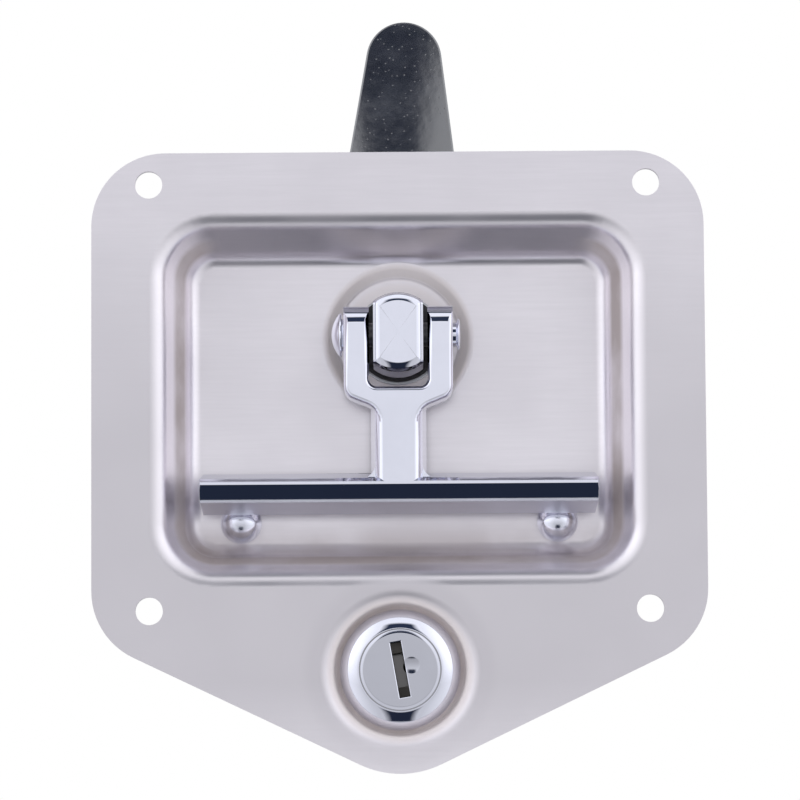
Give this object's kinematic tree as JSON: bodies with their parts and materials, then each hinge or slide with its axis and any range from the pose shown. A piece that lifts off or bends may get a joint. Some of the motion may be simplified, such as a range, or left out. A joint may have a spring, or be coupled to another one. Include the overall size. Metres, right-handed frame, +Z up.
{
  "type": "trailer door latch",
  "caption": "Flush folding T-handle latch in a pressed stainless dish with a V-shaped flange, a key lock below and a black cam finger behind.",
  "frame": {"origin": "Centre of the four mounting holes, on the back face of the flange, where it lies against the door.", "axes": "+Z is up, +X is to the right seen from the front, and +Y points from the front through the door. The front faces -Y."},
  "size_m": [0.125, 0.0454, 0.159],
  "materials": {
    "satin_stainless": "bright pressed stainless sheet",
    "polished_chrome": "polished chrome plate",
    "black_paint": "gloss black paint",
    "zinc_plate": "dull zinc plate",
    "black_rubber": "matt black",
    "plain_brass": "plain brass"
  },
  "bodies": {
    "dish": {"dish": "satin_stainless", "rest_studs": "polished_chrome", "spindle_bush": "zinc_plate", "bush_nut": "zinc_plate", "lock_housing": "polished_chrome", "lock_washer": "zinc_plate", "lock_nut": "zinc_plate"},
    "spindle": {"spindle": "polished_chrome", "spindle_seal": "black_rubber", "thrust_washer": "plain_brass", "spring_washer": "zinc_plate", "lock_plate": "zinc_plate", "cam": "black_paint", "cam_washer": "zinc_plate", "cam_nut": "zinc_plate"},
    "handle": {"t_handle": "polished_chrome", "pivot_pin": "polished_chrome"},
    "lock_plug": {"lock_plug": "polished_chrome", "plug_clip": "zinc_plate", "wafer_tumblers": "plain_brass", "wafer_springs": "zinc_plate", "tail_lever": "zinc_plate", "tail_washer": "zinc_plate", "tail_screw": "zinc_plate"}
  },
  "joints": [
    {"name": "handle_fold", "type": "hinge", "parent": "spindle", "child": "handle", "pos_m": [0, 0.0075, 0.0133], "axis": [-1, 0, 0], "range_deg": [0, 90]},
    {"name": "spindle_turn", "type": "hinge", "parent": "dish", "child": "spindle", "pos_m": [0, 0.02, 0.0133], "axis": [0, 1, 0], "range_deg": [0, 90]},
    {"name": "lock_turn", "type": "hinge", "parent": "dish", "child": "lock_plug", "pos_m": [0, 0.015, -0.0556], "axis": [0, 1, 0], "range_deg": [0, 90]}
  ],
  "couplings": [
    {"joint": "spindle_turn", "follows": "handle_fold", "ratio": 1}
  ]
}
